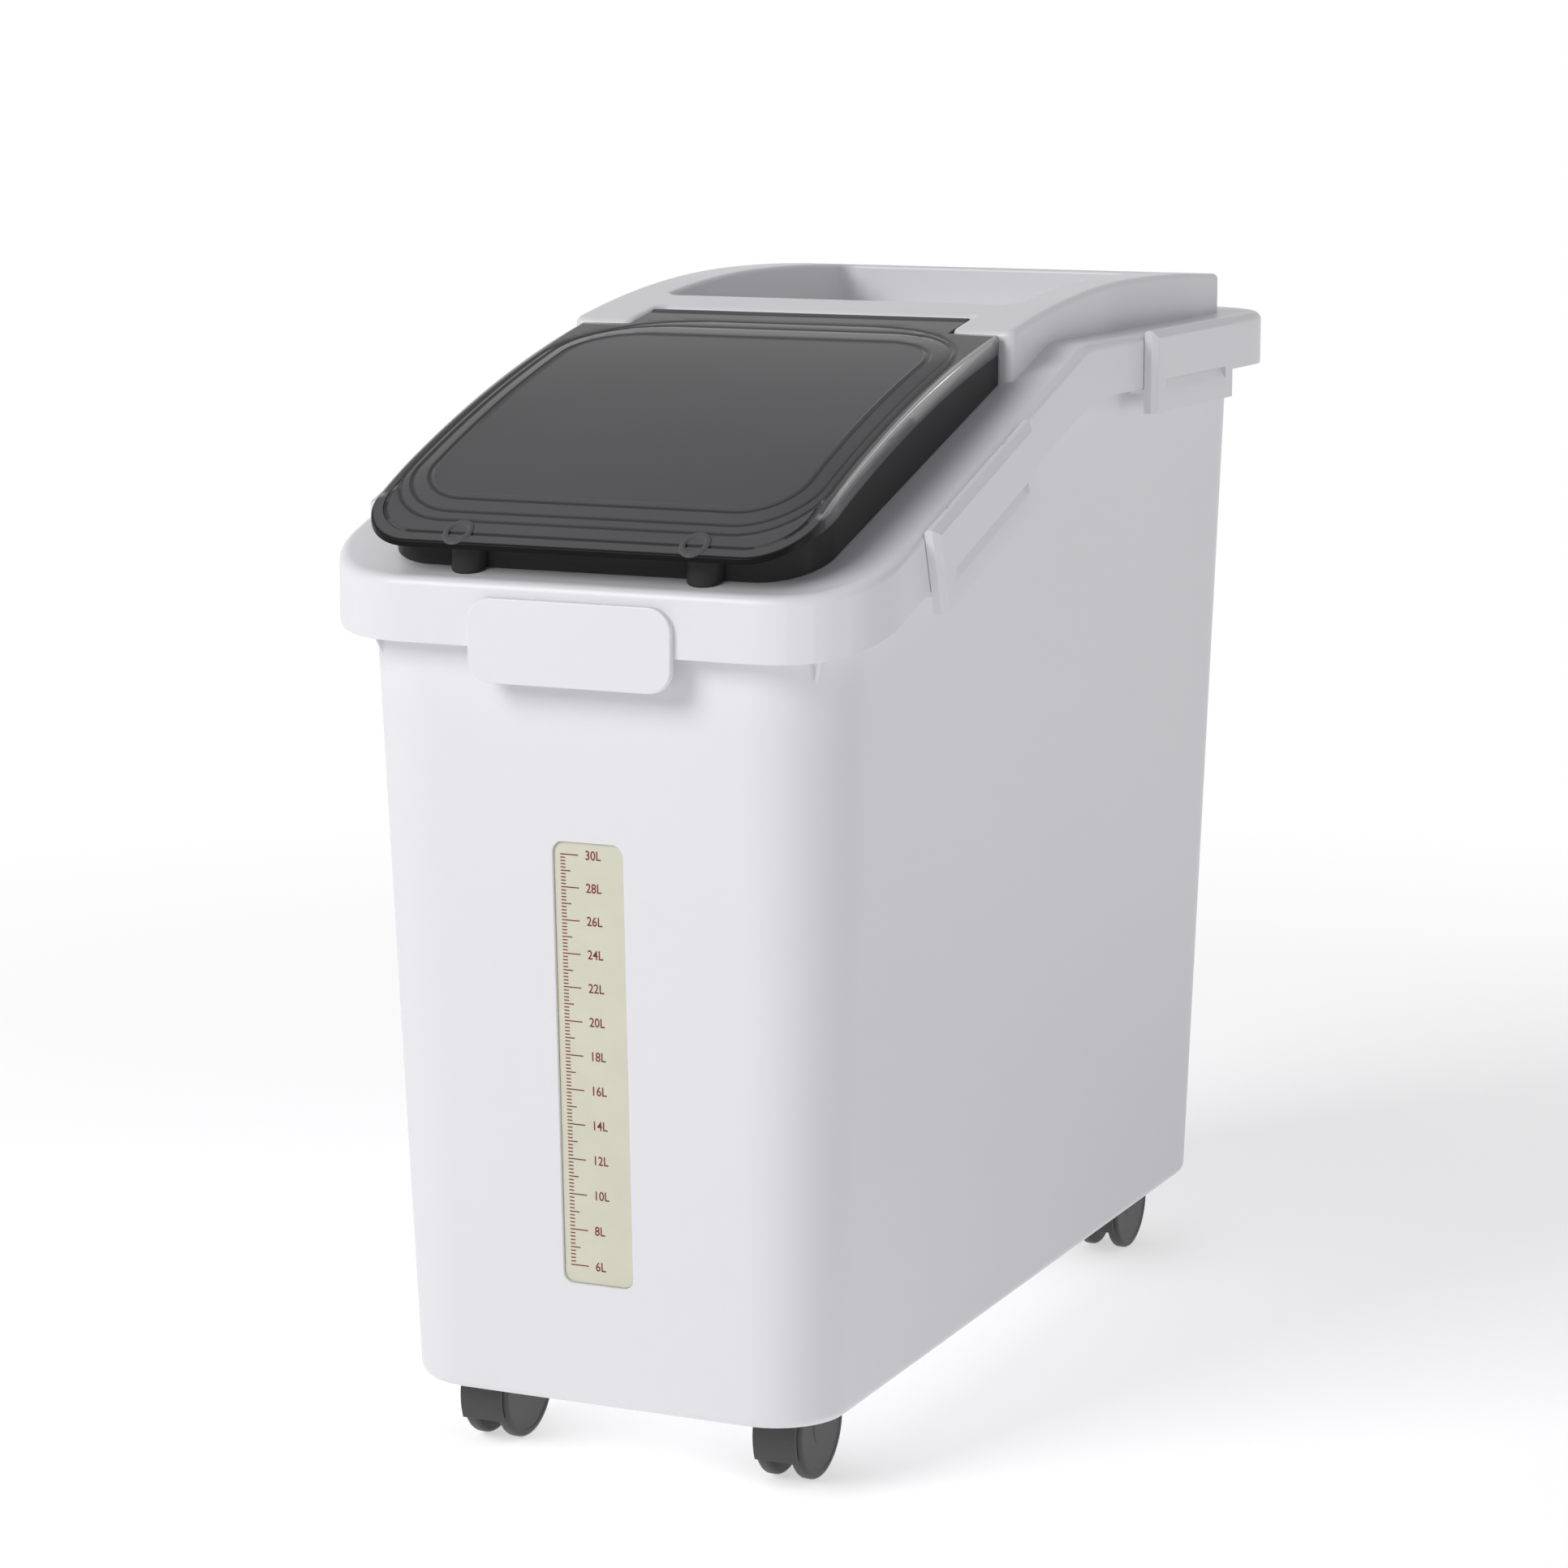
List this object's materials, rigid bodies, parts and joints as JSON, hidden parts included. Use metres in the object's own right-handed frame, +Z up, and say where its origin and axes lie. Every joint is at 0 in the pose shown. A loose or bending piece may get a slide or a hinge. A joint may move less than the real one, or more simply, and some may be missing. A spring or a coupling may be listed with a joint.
{
  "type": "ingredient storage bin",
  "caption": "Rolling ingredient bin: tapered tub with a sight strip, sloped cover with a flip lid, rear tray, clip latches and twin-wheel casters.",
  "frame": {"origin": "on the floor under the middle of the whole bin", "axes": "+Z up, +Y from the front of the bin to its rear, +X to the right of someone who faces the front along +Y"},
  "size_m": [0.2848, 0.595, 0.532],
  "materials": {
    "white_plastic": "satin moulded plastic",
    "strip_plastic": "frosted translucent plastic",
    "smoke_plastic": "smoked glossy plastic",
    "dark_plastic": "matte moulded plastic",
    "steel": "drawn wire and turned pins"
  },
  "bodies": {
    "base": {"tub": "white_plastic", "sight_strip": "strip_plastic", "cover": "white_plastic", "front_plate": "white_plastic", "hinge_rod": "steel", "pin_front_right": "steel", "stem_front_right": "steel", "pin_front_left": "steel", "stem_front_left": "steel", "pin_rear_right": "steel", "stem_rear_right": "steel", "pin_rear_left": "steel", "stem_rear_left": "steel"},
    "lid": {"lid": "smoke_plastic"},
    "latch_front_right": {"latch_front_right": "white_plastic"},
    "latch_front_left": {"latch_front_left": "white_plastic"},
    "latch_rear_right": {"latch_rear_right": "white_plastic"},
    "latch_rear_left": {"latch_rear_left": "white_plastic"},
    "caster_front_right": {"hood_front_right": "dark_plastic", "axle_front_right": "steel"},
    "wheel_front_right_outer": {"wheel_front_right_outer": "dark_plastic"},
    "wheel_front_right_inner": {"wheel_front_right_inner": "dark_plastic"},
    "caster_front_left": {"hood_front_left": "dark_plastic", "axle_front_left": "steel"},
    "wheel_front_left_outer": {"wheel_front_left_outer": "dark_plastic"},
    "wheel_front_left_inner": {"wheel_front_left_inner": "dark_plastic"},
    "caster_rear_right": {"hood_rear_right": "dark_plastic", "axle_rear_right": "steel"},
    "wheel_rear_right_outer": {"wheel_rear_right_outer": "dark_plastic"},
    "wheel_rear_right_inner": {"wheel_rear_right_inner": "dark_plastic"},
    "caster_rear_left": {"hood_rear_left": "dark_plastic", "axle_rear_left": "steel"},
    "wheel_rear_left_outer": {"wheel_rear_left_outer": "dark_plastic"},
    "wheel_rear_left_inner": {"wheel_rear_left_inner": "dark_plastic"}
  },
  "joints": [
    {"name": "lid_hinge", "type": "hinge", "parent": "base", "child": "lid", "pos_m": [0, -0.036, 0.51512], "axis": [-1, 0, 0], "range_deg": [0, 105]},
    {"name": "latch_front_right_hinge", "type": "hinge", "parent": "base", "child": "latch_front_right", "pos_m": [0.13849, -0.16161, 0.45682], "axis": [0, -0.9494, -0.3142], "range_deg": [0, 95]},
    {"name": "latch_front_left_hinge", "type": "hinge", "parent": "base", "child": "latch_front_left", "pos_m": [-0.13849, -0.16161, 0.45682], "axis": [0, 0.9494, 0.3142], "range_deg": [0, 95]},
    {"name": "latch_rear_right_hinge", "type": "hinge", "parent": "base", "child": "latch_rear_right", "pos_m": [0.13849, 0.12896, 0.5064], "axis": [0, -1, 0], "range_deg": [0, 95]},
    {"name": "latch_rear_left_hinge", "type": "hinge", "parent": "base", "child": "latch_rear_left", "pos_m": [-0.13849, 0.12896, 0.5064], "axis": [0, 1, 0], "range_deg": [0, 95]},
    {"name": "caster_front_right_swivel", "type": "hinge", "parent": "base", "child": "caster_front_right", "pos_m": [0.07494, -0.219, 0.0588], "axis": [0, 0, 1], "continuous": true},
    {"name": "wheel_front_right_outer_spin", "type": "hinge", "parent": "caster_front_right", "child": "wheel_front_right_outer", "pos_m": [0.07494, -0.2155, 0.025], "axis": [1, 0, 0], "continuous": true},
    {"name": "wheel_front_right_inner_spin", "type": "hinge", "parent": "caster_front_right", "child": "wheel_front_right_inner", "pos_m": [0.07494, -0.2155, 0.025], "axis": [1, 0, 0], "continuous": true},
    {"name": "caster_front_left_swivel", "type": "hinge", "parent": "base", "child": "caster_front_left", "pos_m": [-0.07494, -0.219, 0.0588], "axis": [0, 0, 1], "continuous": true},
    {"name": "wheel_front_left_outer_spin", "type": "hinge", "parent": "caster_front_left", "child": "wheel_front_left_outer", "pos_m": [-0.07494, -0.2155, 0.025], "axis": [1, 0, 0], "continuous": true},
    {"name": "wheel_front_left_inner_spin", "type": "hinge", "parent": "caster_front_left", "child": "wheel_front_left_inner", "pos_m": [-0.07494, -0.2155, 0.025], "axis": [1, 0, 0], "continuous": true},
    {"name": "caster_rear_right_swivel", "type": "hinge", "parent": "base", "child": "caster_rear_right", "pos_m": [0.07494, 0.2066, 0.0588], "axis": [0, 0, 1], "continuous": true},
    {"name": "wheel_rear_right_outer_spin", "type": "hinge", "parent": "caster_rear_right", "child": "wheel_rear_right_outer", "pos_m": [0.07494, 0.2101, 0.025], "axis": [1, 0, 0], "continuous": true},
    {"name": "wheel_rear_right_inner_spin", "type": "hinge", "parent": "caster_rear_right", "child": "wheel_rear_right_inner", "pos_m": [0.07494, 0.2101, 0.025], "axis": [1, 0, 0], "continuous": true},
    {"name": "caster_rear_left_swivel", "type": "hinge", "parent": "base", "child": "caster_rear_left", "pos_m": [-0.07494, 0.2066, 0.0588], "axis": [0, 0, 1], "continuous": true},
    {"name": "wheel_rear_left_outer_spin", "type": "hinge", "parent": "caster_rear_left", "child": "wheel_rear_left_outer", "pos_m": [-0.07494, 0.2101, 0.025], "axis": [1, 0, 0], "continuous": true},
    {"name": "wheel_rear_left_inner_spin", "type": "hinge", "parent": "caster_rear_left", "child": "wheel_rear_left_inner", "pos_m": [-0.07494, 0.2101, 0.025], "axis": [1, 0, 0], "continuous": true}
  ]
}
